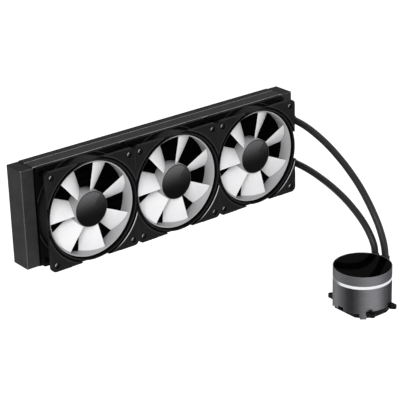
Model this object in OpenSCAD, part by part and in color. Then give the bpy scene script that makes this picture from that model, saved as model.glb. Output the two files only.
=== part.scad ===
// All in one liquid cooler: a radiator of three fans long, three ringed fans, two hoses and a round pump block.
// The origin is the centre of the radiator's back face, which is screwed to a case.
// +X runs along the radiator towards the hoses, -Y towards the fans, and +Z is up.

/* [Radiator] */
// Distance between the fan axes, which is also the radiator's width
fan_pitch = 120; // [116:1:130]
// Depth of the radiator
radiator_t = 29; // [25:1:36]
// Length of each end tank
tank_l = 16; // [15:0.5:20]
// Wall of the end tanks
tank_wall = 1.5; // [1:0.1:2]
// Height of the side rails above the end tanks
rail_step = 0.8; // [0.4:0.1:1.2]
// Thickness of the rails' sheet
sheet_t = 1.2; // [0.8:0.1:1.6]
// Width of the rails' screw flanges
flange_w = 13; // [11:0.5:15]
// Thickness of the header plates
header_t = 2; // [1.5:0.1:3]
// Number of flat water tubes
tube_n = 12; // [8:1:14]
// Thickness of a flat tube
tube_t = 2; // [1.6:0.1:2.4]
// Distance from the tubes' edges to the radiator's faces
core_margin = 2.5; // [2:0.1:4]
// Wall of a flat tube
tube_wall = 0.35; // [0.2:0.05:0.5]
// Length of one fold of the fin strips
fin_pitch = 7.2; // [5:0.1:12]
// Height of the fin sheet, measured across the core
fin_t = 0.9; // [0.6:0.1:1.2]
// Distance between the two hose ports
port_spacing = 56; // [40:1:70]

/* [Fan] */
// Depth of a fan
fan_t = 25; // [24:0.5:30]
// Gap between two neighbouring fans
fan_gap = 0.3; // [0.1:0.1:1]
// Distance from a fan's screws to the edge of its place
screw_inset = 7.5; // [6.5:0.25:9]
// Radius of a fan frame's corners
corner_r = 6; // [3:0.5:7]
// Thickness of the front and the back flange
fan_flange_t = 4.4; // [3:0.1:5]
// Depth of the groove between the bore's lip and the corner pads
groove_t = 3.2; // [1:0.1:3.4]
// How far a frame's sides are set in between its corners
side_inset = 0.3; // [0.1:0.1:0.6]
// Length of the straight inset on each side
side_inset_l = 66; // [50:1:74]
// Distance from a frame's bore to the edge of its place
bore_margin = 2.4; // [2.3:0.05:2.75]
// Wall of a frame round its bore
bore_wall = 1.8; // [0.8:0.1:2]
// Number of struts that carry the motor
strut_n = 4; // [3:1:6]
// Width of a strut
strut_w = 5; // [3:0.5:7]
// Thickness of the struts and the motor's base
strut_t = 2.4; // [1.8:0.1:3]

/* [Impeller] */
// Running gap between the blade ring and the bore
ring_gap = 1.1; // [0.7:0.1:1.5]
// Wall of the blade ring
ring_wall = 1.3; // [0.8:0.1:2]
// Depth of the blade ring
ring_depth = 17.5; // [12:0.5:18]
// How far the rotor stands behind the frame's front face
rotor_inset = 4; // [1:0.1:5]
// Diameter of the hub
hub_d = 43; // [42:0.5:50]
// Diameter of the disc on the hub
cap_d = 41.6; // [38:0.2:41.8]
// Thickness of the disc on the hub
cap_t = 1; // [0.6:0.1:1.4]
// Number of blades
blade_n = 7; // [5:1:9]
// Axial thickness of a blade at its middle
blade_t = 1.8; // [1.2:0.1:2.6]
// Angle of the leading edge at the hub
lead_hub = 87.5; // [80:1:95]
// Angle of the leading edge at the ring
lead_tip = 82.3; // [75:1:90]
// Angle of the trailing edge at the hub
trail_hub = 49; // [44:0.5:54]
// Angle of the trailing edge at the ring
trail_tip = 53.2; // [46:0.5:56]

/* [Fan motor] */
// Diameter of the motor shaft
shaft_d = 3; // [2:0.1:3.4]
// Radial running clearance of every shaft
run_gap = 0.05; // [0.02:0.01:0.09]
// Diameter of the bearing sleeve
bearing_d = 7; // [6:0.1:8]
// Wall of the tube that holds the bearing
holder_wall = 1.3; // [0.8:0.1:1.8]
// Radial thickness of the ring magnet
magnet_t = 2; // [1.5:0.1:2.6]
// Wall of the steel yoke
yoke_wall = 1; // [0.6:0.1:1.4]
// Air gap between stator and magnet
air_gap = 0.6; // [0.4:0.1:1]
// Height of the stator
stator_h = 8; // [6:0.5:9]
// Thickness of the circuit boards
board_t = 1.2; // [0.8:0.1:1.6]

/* [Hoses] */
// Outer diameter of the hoses
hose_d = 8.4; // [7:0.1:8.8]
// Bore of the fittings
fitting_bore_d = 4.4; // [3:0.1:4.8]
// Diameter of the hose barbs
barb_d = 6; // [5.4:0.1:6.6]
// Length of the barbs and of the ferrules
ferrule_l = 11; // [9:0.5:12]
// Wall of the ferrules
ferrule_wall = 0.9; // [0.6:0.1:1.2]

/* [Pump block] */
// Outer diameter of the pump block
pump_d = 68.8; // [66:0.2:76]
// Wall of the metal sleeve
sleeve_wall = 2; // [1.4:0.1:2.4]
// Height of the light ring above the base
glow_z = 37.9; // [36:0.1:42]
// Height of the light ring
glow_h = 3.6; // [3:0.1:6]
// Height of the crown above the light ring
crown_h = 11.7; // [8:0.1:14]
// Width of the rim round the top disc
rim_w = 1; // [0.6:0.1:1.4]
// Thickness of the top disc
lens_t = 1.4; // [1:0.1:2]
// Width of the base along X
base_x = 55; // [53:0.5:57]
// Length of the base along Y
base_y = 62; // [60:0.5:63]
// Height of the sleeve's lower edge above the base on the X sides
lift_x = 7; // [6:0.1:8]
// Height of the sleeve's lower edge above the base on the Y sides
lift_y = 9.6; // [9.4:0.1:11]
// Width of the sleeve's four legs
leg_w = 8; // [6:0.5:10]
// Thickness of the cold plate
plate_t = 3; // [2:0.1:3.4]
// Distance of the mounting ears along X
ear_x = 34; // [30:1:40]
// Distance of the mounting ears along Y
ear_y = 69; // [68:0.5:80]
// Diameter of the holes in the ears
ear_hole_d = 3.8; // [3:0.1:4.4]
// Thickness of the mounting brackets
bracket_t = 4; // [3:0.1:4.2]
// Width of the connector slot
slot_w = 9.6; // [8:0.2:12]
// Height of the connector slot
slot_h = 5; // [4.4:0.1:5.4]
// Direction of the hose ports, turned from +X towards +Y
port_angle = 19; // [10:0.5:30]
// Distance between the pump's hose ports
pump_port_spacing = 13.4; // [12.4:0.1:16]
// Clear distance between the pump block and the ferrules on its hose ends
elbow_gap = 5.35; // [4:0.05:10]

/* [Hidden] */
$fn = 64;
eps = 0.05;
fit = 0.2;

black_plastic = "#26272a";
black_metal = "#2c2d30";
bare_metal = "#a9adb3";
white_plastic = "#f1f3f6";
copper = "#c07a4e";
gunmetal = "#5b5c61";
rubber = "#1d1e20";

// Radiator places
sides = [-1, 1];
fan_places = [-1, 0, 1];
core_l = len(fan_places) * fan_pitch;
radiator_w = fan_pitch;
tank_w = radiator_w - 2 * rail_step;
tank_r = 0.8;
core_h = radiator_w - 2 * sheet_t;
fin_h = (core_h - tube_n * tube_t) / (tube_n + 1);
tube_w = radiator_t - 2 * core_margin;
tube_lip = 1;
tube_l = core_l + 2 * (header_t + tube_lip);
rail_groove_w = 1.2;
rail_groove_t = 0.4;
rail_groove_inset = 17.5;
rail_groove_y = rail_groove_inset - radiator_t;
rail_bend_r = 0.8;
screw_r = 1.5;
case_hole_r = 1.6;
fan_hole_r = 1.8;
slip = 0.05;
port_x = core_l / 2 + tank_l / 2;
port_hole_r = 3.3;

// Fan places, measured from the fan's back face along its axis
fan_size = fan_pitch - fan_gap;
screw_spacing = fan_pitch - 2 * screw_inset;
bore_r = fan_pitch / 2 - bore_margin;
groove_w = 2.7;
pad_r = bore_r + bore_wall + groove_w;
lip_bevel = 0.8;
frame_hole_r = 2.15;
head_r = 3;
head_t = 2;
head_recess_r = 3.7;
screw_seat_z = fan_t - 3.2;
screw_tip = 1;
ring_r = bore_r - ring_gap;
rotor_front = fan_t - rotor_inset;
ring_back = rotor_front - ring_depth;
hub_r = hub_d / 2;
hub_roof_t = 2;
yoke_top = rotor_front - cap_t - hub_roof_t;
yoke_r = hub_r - 1.6;
magnet_r = yoke_r - yoke_wall;
stator_r = magnet_r - magnet_t - air_gap;
holder_r = bearing_d / 2 + holder_wall;
stator_z = strut_t + board_t + 0.3;
magnet_h = stator_h + 1;
bearing_h = stator_z + stator_h - strut_t;
motor_base_r = hub_r - 0.5;
strut_turn = 20;
blade_front = rotor_front - 2.8;
blade_back = ring_back + 1;
blade_root_r = hub_r - 0.7;
blade_tip_r = ring_r - ring_wall / 2;
blade_camber = 1.6;
blade_steps_r = 6;
blade_steps_c = 8;

// Pump places, measured from the pump's base along its axis
pump_x = 134;
pump_y = -222.5;
pump_z = -141.2;
pump_r = pump_d / 2;
body_r = pump_r - sleeve_wall - fit;
body_z = 7;
body_top = glow_z - board_t - 0.6;
port_z = body_top - 6.9;
flow_z = 14;
flow_foot_z = 10;
base_z = 0.8;
bracket_z = 5;
bracket_y = 25;
gasket_t = 1;
plate_margin_x = 7;
plate_margin_y = 8;
plate_x = base_x - plate_margin_x;
plate_y = base_y - plate_margin_y;
plate_r = body_r - 1.3;
plate_screw_r = 1.2;
plate_screw_head_r = 2.3;
plate_screw_head_t = 1.1;
plate_screw_l = 4;
lens_r = pump_r - rim_w;
crown_z = glow_z + glow_h;
pump_h = crown_z + crown_h;
glow_inset = 0.1;
chamber_r = 18;
chamber_top = 19;
chamber_plate_t = 5;
vane_floor_gap = 0.6;
chamber_foot_z = 3;
chamber_hole_r = 3;
can_r = 9;
can_wall = 1.5;
can_top = body_top - 3.1;
pump_shaft_d = 3;
pump_stator_r = 21.5;
pump_stator_z = 21;
pump_stator_h = can_top - pump_stator_z - 1;
port_depth = 25;
flow_r = 2.6;
flow_reach = 28.5;
stub_r = 4.2;
stub_l = 14;
bend_r = 5.5;
ferrule_fit = 0.15;
ferrule_r = hose_d / 2 + ferrule_fit + ferrule_wall;
elbow_reach = pump_r + elbow_gap + ferrule_r;
collar_r = 5;
collar_t = 1.5;
collar_z = port_z + bend_r + collar_t;
bend_extra = 0.3;
seal_r = 0.5;
seal_x = port_depth + 2;
slot_z = 8.4;
socket_wall = 1;
socket_depth = 11;
ear_r = 3.6;
ear_margin = 5;
leg_angle = atan2(base_y, base_x);
leg_turn = leg_w / pump_r * 180 / PI;

// Hose routes from the radiator to the pump
radiator_hose_y = -31;
upper_route = [
    [188, -31, 28], [188, -43, 28], [188, -59, 26.4], [187.7, -74, 23.3], [187.3, -89, 19],
    [186.7, -104, 13.7], [185.9, -119, 7.2], [184.9, -136, -1.5], [183.9, -150, -10], [182.9, -163, -19],
    [182, -174, -28.2], [181.1, -183.8, -37.6], [180.4, -192.5, -47.4], [179.9, -200.2, -57.6],
    [179.4, -206.6, -68.6], [179, -211.5, -80], [178.7, -214.1, -92], [178.7, -214.2, -105]
];
lower_route = [
    [188, -31, -28], [188, -43, -28], [187.9, -59, -28.7], [187.2, -75, -30.1], [186.1, -90.5, -32.2],
    [184.7, -106.5, -34.9], [183.1, -122.5, -38.3], [181.2, -138.5, -42.6], [179.5, -152, -47.2],
    [177.4, -167.7, -54], [176, -181.2, -62.3], [175, -191.6, -71.7], [174.6, -198.7, -82],
    [174.4, -201.4, -92], [174.4, -201.5, -105]
];
hose_sides = 12;

// Unit vector along v
function unit(v) = v / norm(v);

// Direction of a route at point i
function along(route, i) =
    i == 0 ? unit(route[1] - route[0]) :
    i == len(route) - 1 ? unit(route[i] - route[i - 1]) :
    unit(route[i + 1] - route[i - 1]);

// Ring of points round a route's point i
function hose_ring(route, i, r) =
    let (t = along(route, i), u = unit(cross(t, [1, 0, 0])), v = cross(t, u))
    [for (k = [0 : hose_sides - 1]) route[i] + r * (cos(360 * k / hose_sides) * u + sin(360 * k / hose_sides) * v)];

// Angle of a blade's edges at the share f of the way from hub to ring
function lead_angle(f) = lead_tip + (lead_hub - lead_tip) * (1 - f) * (1 - f);
function trail_angle(f) = trail_hub + (trail_tip - trail_hub) * f;

// Point on a blade: f goes from hub to ring, c from the leading to the trailing edge, side is 1 in front
function blade_point(f, c, side) =
    let (
        r = blade_root_r + (blade_tip_r - blade_root_r) * f,
        a = lead_angle(f) + (trail_angle(f) - lead_angle(f)) * c,
        mid = blade_front + (blade_back - blade_front) * c + blade_camber * 4 * c * (1 - c),
        half = blade_t / 2 * (0.3 + 0.7 * sin(180 * c))
    )
    [r * cos(a), r * sin(a), mid + side * half];

// Square with round corners
module rounded_square(w, h, r) {
    square([w - 2 * r, h], center = true);
    square([w, h - 2 * r], center = true);
    for (x = sides, y = sides)
        translate([x * (w / 2 - r), y * (h / 2 - r)]) circle(r);
}

// Strip with round ends
module slot_shape(w, h) {
    square([w - h, h], center = true);
    for (x = sides)
        translate([x * (w - h) / 2, 0]) circle(h / 2);
}

// Ring between two radii
module ring(r_out, r_in, h) {
    linear_extrude(h) difference() {
        circle(r_out);
        circle(r_in);
    }
}

// Turns a flat shape in Y and Z into a bar along X, centred on the origin
module along_x(l) {
    translate([-l / 2, 0, 0]) rotate([90, 0, 90]) linear_extrude(l) children();
}

// Height of the middle of tube i
function tube_z(i) = -core_h / 2 + fin_h + tube_t / 2 + i * (fin_h + tube_t);

module flat_tubes() {
    color(black_metal)
        for (i = [0 : tube_n - 1])
            translate([0, -radiator_t / 2, tube_z(i)]) along_x(tube_l) difference() {
                slot_shape(tube_w, tube_t);
                slot_shape(tube_w - 2 * tube_wall, tube_t - 2 * tube_wall);
            }
}

// One corrugated strip: a folded sheet between two tubes
module fin_strip() {
    folds = 2 * floor(core_l / fin_pitch);
    step = core_l / folds;
    rise = fin_h - fin_t;
    low = [for (i = [0 : folds]) [-core_l / 2 + i * step, (i % 2) * rise]];
    high = [for (i = [folds : -1 : 0]) [-core_l / 2 + i * step, (i % 2) * rise + fin_t]];
    rotate([90, 0, 0]) linear_extrude(tube_w, center = true) polygon(concat(low, high));
}

module fin_strips() {
    color(black_metal)
        for (i = [0 : tube_n])
            translate([0, -radiator_t / 2, -core_h / 2 + i * (fin_h + tube_t)]) fin_strip();
}

// Plate that the tube ends pass through
module header(side) {
    color(black_metal)
        translate([side * (core_l + header_t) / 2, -radiator_t / 2, 0]) along_x(header_t) difference() {
            square([radiator_t - 2 * tank_wall, tank_w - 2 * tank_wall], center = true);
            for (i = [0 : tube_n - 1])
                translate([0, tube_z(i)]) slot_shape(tube_w, tube_t);
        }
}

// Closed outer form of a tank, from the core outwards along +X
module tank_form(l, wall, r) {
    intersection() {
        translate([l / 2, -radiator_t / 2, 0]) along_x(l)
            rounded_square(radiator_t - 2 * wall, tank_w - 2 * wall, r);
        translate([l / 2 - r, -radiator_t / 2, 0]) linear_extrude(tank_w, center = true)
            rounded_square(l + 2 * r, radiator_t - 2 * wall, r);
    }
}

module tank_shell() {
    difference() {
        tank_form(tank_l, 0, tank_r);
        translate([-eps, -radiator_t + tank_wall, tank_wall - tank_w / 2])
            cube([tank_l - tank_wall + eps, radiator_t - 2 * tank_wall, tank_w - 2 * tank_wall]);
    }
}

module left_tank() {
    color(black_metal) translate([-core_l / 2, 0, 0]) mirror([1, 0, 0]) tank_shell();
}

// The hose end's tank is split in two, so that water goes up one half of the core and back the other
module right_tank() {
    baffle_x = header_t + tube_lip + fit;
    color(black_metal) translate([core_l / 2, 0, 0]) {
        difference() {
            tank_shell();
            for (z = sides)
                translate([tank_l / 2, -radiator_t / 2, z * port_spacing / 2]) rotate([90, 0, 0])
                    cylinder(h = radiator_t, r = port_hole_r + slip);
        }
        translate([baffle_x, -radiator_t + tank_wall, -tank_wall / 2])
            cube([tank_l - tank_wall - baffle_x, radiator_t - 2 * tank_wall, tank_wall]);
    }
}

// Folded side rail with screw holes for the fans in front and for the case behind
module rail() {
    difference() {
        translate([0, -radiator_t / 2, 0]) along_x(core_l) difference() {
            rounded_square(radiator_t, radiator_w, rail_bend_r);
            square([radiator_t - 2 * sheet_t, core_h], center = true);
            translate([0, -flange_w]) square([2 * radiator_t, radiator_w], center = true);
            translate([rail_groove_y + radiator_t / 2, radiator_w / 2])
                square([rail_groove_w, 2 * rail_groove_t], center = true);
        }
        for (i = fan_places, x = sides)
            translate([i * fan_pitch + x * screw_spacing / 2, 0, screw_spacing / 2]) rotate([90, 0, 0]) {
                translate([0, 0, -eps]) cylinder(h = sheet_t + 2 * eps, r = case_hole_r);
                translate([0, 0, radiator_t - sheet_t - eps]) cylinder(h = sheet_t + 2 * eps, r = fan_hole_r);
            }
    }
}

module top_rail() {
    color(black_metal) rail();
}

module bottom_rail() {
    color(black_metal) mirror([0, 0, 1]) rail();
}

// Barbed stem along +Z, with its hose end on top and its shoulder at z = 0
module barb_stem() {
    ridge = 0.3;
    teeth = 3;
    pitch = (ferrule_l - 1) / teeth;
    difference() {
        rotate_extrude() union() {
            square([barb_d / 2 - ridge, ferrule_l - 1]);
            for (i = [0 : teeth - 1])
                polygon([
                    [0, i * pitch], [barb_d / 2 + ridge, i * pitch], [barb_d / 2 - ridge, (i + 1) * pitch],
                    [0, (i + 1) * pitch]
                ]);
        }
        translate([0, 0, -eps]) cylinder(h = ferrule_l, d = fitting_bore_d);
    }
}

// Turned fitting in the right tank
module radiator_barb(side) {
    shoulder = -radiator_t - radiator_hose_y;
    color(bare_metal)
        translate([port_x, radiator_hose_y, side * port_spacing / 2]) rotate([90, 0, 0]) {
            barb_stem();
            translate([0, 0, -shoulder]) ring(collar_r, fitting_bore_d / 2, shoulder);
            translate([0, 0, -shoulder - tank_wall - 1]) ring(port_hole_r, fitting_bore_d / 2, tank_wall + 1);
        }
}

// Crimped sleeve over a hose end, along +Z
module ferrule() {
    r_in = hose_d / 2 + ferrule_fit;
    r_out = ferrule_r;
    crimp = 0.3;
    difference() {
        ring(r_out, r_in, ferrule_l);
        for (i = [1 : 3])
            translate([0, 0, i * ferrule_l / 4 - 0.5]) ring(r_out + 1, r_out - crimp, 1);
    }
}

module hose_ferrules() {
    color(black_metal) {
        for (side = sides)
            translate([port_x, radiator_hose_y - fit, side * port_spacing / 2]) rotate([90, 0, 0]) ferrule();
        for (side = sides)
            at_port(side) translate([elbow_reach, 0, collar_z + fit]) ferrule();
    }
}

// Tube swept along a route
module hose(route) {
    n = len(route);
    rings = [for (i = [0 : n - 1]) each hose_ring(route, i, hose_d / 2)];
    walls = [
        for (i = [0 : n - 2], k = [0 : hose_sides - 1])
            let (a = i * hose_sides + k, b = i * hose_sides + (k + 1) % hose_sides)
            each [[a, b, b + hose_sides], [a, b + hose_sides, a + hose_sides]]
    ];
    first = [for (k = [hose_sides - 1 : -1 : 0]) k];
    last = [for (k = [0 : hose_sides - 1]) (n - 1) * hose_sides + k];
    color(rubber) polyhedron(points = rings, faces = concat(walls, [first, last]));
}

module upper_hose() {
    hose(upper_route);
}

module lower_hose() {
    hose(lower_route);
}

// Places a fan, whose axis is +Z from its back face, on the radiator
module at_fan(i) {
    translate([i * fan_pitch, -radiator_t, 0]) rotate([90, 0, 0]) children();
}

// Puts its children at a fan's four screws
module at_screws() {
    for (x = sides, y = sides)
        translate([x * screw_spacing / 2, y * screw_spacing / 2, 0]) children();
}

// Outline of a fan frame, set in between the corners
module fan_outline() {
    half = fan_size / 2;
    difference() {
        rounded_square(fan_size, fan_size, corner_r);
        for (a = [0 : 90 : 270])
            rotate(a) polygon([
                [half - side_inset, -side_inset_l / 2], [half - side_inset, side_inset_l / 2],
                [half + eps, side_inset_l / 2 + 2 * side_inset], [half + eps, -side_inset_l / 2 - 2 * side_inset]
            ]);
    }
}

// Frame with two flanges, a lip round the bore, raised corner pads and struts for the motor
module fan_frame() {
    front_floor = fan_t - groove_t;
    color(black_plastic) {
        difference() {
            union() {
                linear_extrude(fan_flange_t) fan_outline();
                translate([0, 0, fan_t - fan_flange_t]) linear_extrude(fan_flange_t - groove_t) fan_outline();
                intersection() {
                    cylinder(h = fan_t, r = bore_r + bore_wall);
                    linear_extrude(fan_t) fan_outline();
                }
                translate([0, 0, front_floor]) linear_extrude(groove_t) difference() {
                    fan_outline();
                    circle(pad_r);
                }
            }
            translate([0, 0, -eps]) cylinder(h = fan_t + 2 * eps, r = bore_r);
            translate([0, 0, fan_t - 2 * lip_bevel])
                cylinder(h = 2 * lip_bevel + eps, r1 = bore_r, r2 = bore_r + lip_bevel);
            at_screws() translate([0, 0, -eps]) cylinder(h = fan_t, r = frame_hole_r);
            at_screws() translate([0, 0, screw_seat_z]) cylinder(h = fan_t, r = head_recess_r);
        }
        cylinder(h = strut_t, r = motor_base_r);
        intersection() {
            for (i = [0 : strut_n - 1])
                rotate(i * 360 / strut_n + strut_turn) translate([holder_r, motor_base_r / 2 - strut_w, 0])
                    cube([bore_r, strut_w, strut_t]);
            cylinder(h = strut_t, r = bore_r + eps);
        }
        translate([0, 0, strut_t]) ring(holder_r, bearing_d / 2, bearing_h);
    }
}

// One blade as a closed skin, curved in both directions
module blade() {
    across = blade_steps_c + 1;
    layer = (blade_steps_r + 1) * across;
    points = [
        for (side = [1, -1], i = [0 : blade_steps_r], j = [0 : blade_steps_c])
            blade_point(i / blade_steps_r, j / blade_steps_c, side)
    ];
    front = [
        for (i = [0 : blade_steps_r - 1], j = [0 : blade_steps_c - 1])
            let (a = i * across + j)
            each [[a, a + across + 1, a + 1], [a, a + across, a + across + 1]]
    ];
    back = [for (f = front) [f[2] + layer, f[1] + layer, f[0] + layer]];
    edge = concat(
        [for (j = [0 : blade_steps_c]) j],
        [for (i = [1 : blade_steps_r]) i * across + blade_steps_c],
        [for (j = [blade_steps_c - 1 : -1 : 0]) blade_steps_r * across + j],
        [for (i = [blade_steps_r - 1 : -1 : 1]) i * across]
    );
    rim = [
        for (k = [0 : len(edge) - 1])
            let (a = edge[k], b = edge[(k + 1) % len(edge)])
            each [[a, b, a + layer], [b, b + layer, a + layer]]
    ];
    polyhedron(points = points, faces = concat(front, back, rim));
}

// Hub, blades and ring, moulded in one
module impeller() {
    color(white_plastic) {
        difference() {
            translate([0, 0, ring_back]) cylinder(h = ring_depth, r = hub_r);
            translate([0, 0, ring_back - eps]) cylinder(h = yoke_top - ring_back + eps, r = yoke_r);
            translate([0, 0, rotor_front - cap_t]) cylinder(h = cap_t + eps, d = cap_d);
            cylinder(h = yoke_top + hub_roof_t / 2, d = shaft_d);
        }
        for (i = [0 : blade_n - 1])
            rotate(i * 360 / blade_n) blade();
        translate([0, 0, ring_back]) ring(ring_r, ring_r - ring_wall, ring_depth);
    }
}

module hub_cap() {
    color(black_plastic) translate([0, 0, rotor_front - cap_t]) cylinder(h = cap_t, d = cap_d);
}

module rotor_yoke() {
    color(bare_metal) difference() {
        translate([0, 0, ring_back]) cylinder(h = yoke_top - ring_back, r = yoke_r);
        translate([0, 0, ring_back - eps]) cylinder(h = yoke_top - ring_back - yoke_wall + eps, r = magnet_r);
        cylinder(h = fan_t, d = shaft_d);
    }
}

module rotor_magnet() {
    color("#3a3a3d") translate([0, 0, ring_back]) ring(magnet_r, magnet_r - magnet_t, magnet_h);
}

module fan_shaft() {
    shaft_z = strut_t + fit;
    color(bare_metal) translate([0, 0, shaft_z])
        cylinder(h = yoke_top + hub_roof_t / 2 - shaft_z, d = shaft_d);
}

module fan_bearing() {
    color("#b08d57") translate([0, 0, strut_t])
        ring(bearing_d / 2, shaft_d / 2 + run_gap, bearing_h);
}

// Wound core with T shaped poles
module wound_core(r_out, r_in, h, poles) {
    hub_t = 2.2;
    shoe_t = 1.6;
    pole_w = 1.2 * r_out / poles;
    shoe_angle = 0.36 * 360 / poles;
    linear_extrude(h) {
        difference() {
            union() {
                circle(r_in + hub_t);
                for (i = [0 : poles - 1])
                    rotate(i * 360 / poles) translate([0, -pole_w / 2])
                        square([r_out - shoe_t / 2, pole_w]);
            }
            circle(r_in);
        }
        intersection() {
            difference() {
                circle(r_out);
                circle(r_out - shoe_t);
            }
            for (i = [0 : poles - 1])
                rotate(i * 360 / poles) polygon([
                    [0, 0], 2 * r_out * [cos(shoe_angle), -sin(shoe_angle)], [3 * r_out, 0],
                    2 * r_out * [cos(shoe_angle), sin(shoe_angle)]
                ]);
        }
    }
    // Copper windings round the poles
    for (i = [0 : poles - 1])
        rotate(i * 360 / poles) translate([r_in + hub_t, -0.9 * pole_w, 0.6])
            cube([r_out - shoe_t - r_in - hub_t, 1.8 * pole_w, h - 1.2]);
}

module fan_stator() {
    color(copper) translate([0, 0, stator_z]) wound_core(stator_r, holder_r, stator_h, 4);
}

module fan_boards() {
    color("#1f5b3a")
        for (i = fan_places)
            at_fan(i) translate([0, 0, strut_t]) ring(stator_r, holder_r, board_t);
}

// Long screws through a fan's corners into the rails
module fan_screws() {
    color(black_metal)
        for (i = fan_places)
            at_fan(i) at_screws() {
                translate([0, 0, -sheet_t - screw_tip]) cylinder(h = screw_seat_z + sheet_t + screw_tip, r = screw_r);
                translate([0, 0, screw_seat_z]) difference() {
                    cylinder(h = head_t, r = head_r);
                    translate([0, 0, head_t / 2]) cylinder(h = head_t, r = 1.2, $fn = 6);
                }
            }
}

// Places the pump, whose axis is +Z from its base
module at_pump() {
    translate([pump_x, pump_y, pump_z]) children();
}

// Places a hose port, with +X along its stub and the pump's axis behind it
module at_port(side) {
    at_pump() rotate(port_angle) translate([0, side * pump_port_spacing / 2, 0]) children();
}

// Places the ports within the pump's own frame
module ports() {
    rotate(port_angle) for (side = sides) translate([0, side * pump_port_spacing / 2, 0]) children();
}

// Metal sleeve that stands on four legs, with holes for the elbows and the connector
module pump_sleeve() {
    color(gunmetal) at_pump() difference() {
        ring(pump_r, pump_r - sleeve_wall, glow_z);
        for (a = [0, 180])
            rotate(a) translate([0, 0, -eps]) linear_extrude(lift_x + eps) sector(leg_angle - leg_turn / 2);
        for (a = [90, 270])
            rotate(a) translate([0, 0, -eps]) linear_extrude(lift_y + eps) sector(90 - leg_angle - leg_turn / 2);
        ports() translate([port_depth, 0, port_z]) rotate([0, 90, 0]) cylinder(h = pump_r, r = stub_r + fit);
        translate([-pump_r - eps, -slot_w / 2, slot_z - slot_h / 2]) cube([pump_r, slot_w, slot_h]);
    }
}

// Sector of a half angle on both sides of +X, wider than the pump block
module sector(half_angle) {
    polygon([
        [0, 0], 2 * pump_r * [cos(half_angle), -sin(half_angle)], [3 * pump_r, 0],
        2 * pump_r * [cos(half_angle), sin(half_angle)]
    ]);
}

module light_ring() {
    color(white_plastic) at_pump() translate([0, 0, glow_z]) ring(pump_r - glow_inset, body_r - 2, glow_h);
}

// Upper metal ring with a floor and a ledge for the top disc
module crown_ring() {
    floor_t = 1.6;
    ledge_w = 1;
    color(gunmetal) at_pump() difference() {
        translate([0, 0, crown_z]) cylinder(h = pump_h - crown_z, r = pump_r);
        translate([0, 0, crown_z + floor_t]) cylinder(h = pump_h, r = lens_r - ledge_w);
        translate([0, 0, pump_h - lens_t - fit]) cylinder(h = pump_h, r = lens_r);
        translate([0, 0, crown_z - eps]) cylinder(h = pump_h, r = chamber_r);
    }
}

module top_disc() {
    color("#08080a") at_pump() translate([0, 0, pump_h - lens_t - fit]) cylinder(h = lens_t, r = lens_r - slip);
}

// Board that closes the motor and carries the lights on its rim
module pump_board() {
    leds = 12;
    led_h = 2;
    color("#1f5b3a") at_pump() translate([0, 0, body_top]) {
        cylinder(h = board_t, r = body_r - 3);
        for (i = [0 : leds - 1])
            rotate(i * 360 / leds) translate([body_r - 7, -1.5, board_t]) cube([3, 3, led_h]);
    }
}

// Moulded block with the impeller's chamber, the motor's can and the water ways
module pump_body() {
    color(black_plastic) at_pump() difference() {
        translate([0, 0, body_z]) cylinder(h = body_top - body_z, r = body_r);
        translate([0, 0, body_z - eps]) cylinder(h = chamber_top - body_z + eps, r = chamber_r);
        cylinder(h = can_top, r = can_r);
        translate([0, 0, pump_stator_z]) ring(pump_stator_r + fit, can_r + can_wall, pump_h);
        ports() translate([port_depth, 0, port_z]) rotate([0, 90, 0]) cylinder(h = pump_r, r = stub_r + fit);
        ports() translate([flow_reach, 0, flow_foot_z]) cylinder(h = port_z - flow_foot_z, r = flow_r);
        ports() translate([0, 0, flow_z]) rotate([0, 90, 0]) cylinder(h = flow_reach, r = flow_r);
        for (y = sides)
            translate([-pump_r, y > 0 ? bracket_y : -bracket_y - pump_r, body_z - eps])
                cube([2 * pump_r, pump_r, bracket_z + bracket_t + fit - body_z + eps]);
        socket_pocket();
    }
}

// Room for the connector's housing
module socket_pocket() {
    translate([-pump_r - eps, -slot_w / 2 - socket_wall, slot_z - slot_h / 2 - socket_wall])
        cube([pump_r - body_r + socket_depth + eps, slot_w + 2 * socket_wall, slot_h + 2 * socket_wall]);
}

module pump_stator() {
    color(copper) at_pump() translate([0, 0, pump_stator_z])
        wound_core_in(pump_stator_r, can_r + can_wall, pump_stator_h, 6);
}

// Wound core whose poles point inwards
module wound_core_in(r_out, r_in, h, poles) {
    back_t = 3;
    pole_w = 4;
    linear_extrude(h) {
        difference() {
            circle(r_out);
            circle(r_out - back_t);
        }
        intersection() {
            difference() {
                circle(r_out - eps);
                circle(r_in);
            }
            for (i = [0 : poles - 1])
                rotate(i * 360 / poles) translate([0, -pole_w / 2]) square([r_out, pole_w]);
        }
    }
    for (i = [0 : poles - 1])
        rotate(i * 360 / poles) translate([r_in + 1.6, -pole_w / 2 - 1, 1])
            cube([r_out - back_t - r_in - 1.6, pole_w + 2, h - 2]);
}

// Fixed shaft between the chamber plate and the can's roof
module pump_shaft() {
    shaft_foot = body_z + chamber_foot_z;
    color(bare_metal) at_pump() translate([0, 0, shaft_foot]) cylinder(h = can_top - shaft_foot, d = pump_shaft_d);
}

// Magnet rotor with vanes that lean back, running on the fixed shaft
module pump_impeller() {
    disc_z = body_z + chamber_plate_t + vane_floor_gap;
    disc_t = 1.4;
    disc_r = chamber_r - 2;
    vane_h = 3.4;
    vane_w = 1.2;
    vane_lean = 30;
    vanes = 6;
    rotor_r = can_r - 0.8;
    rotor_top = can_top - 0.6;
    color(white_plastic) at_pump() difference() {
        union() {
            translate([0, 0, disc_z]) cylinder(h = disc_t, r = disc_r);
            translate([0, 0, disc_z]) cylinder(h = rotor_top - disc_z, r = rotor_r);
            for (i = [0 : vanes - 1])
                rotate(i * 360 / vanes) translate([rotor_r - vane_w, 0, disc_z + disc_t / 2]) rotate(-vane_lean)
                    cube([disc_r - rotor_r, vane_w, vane_h + disc_t / 2]);
        }
        cylinder(h = pump_h, r = pump_shaft_d / 2 + run_gap);
    }
}

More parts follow.
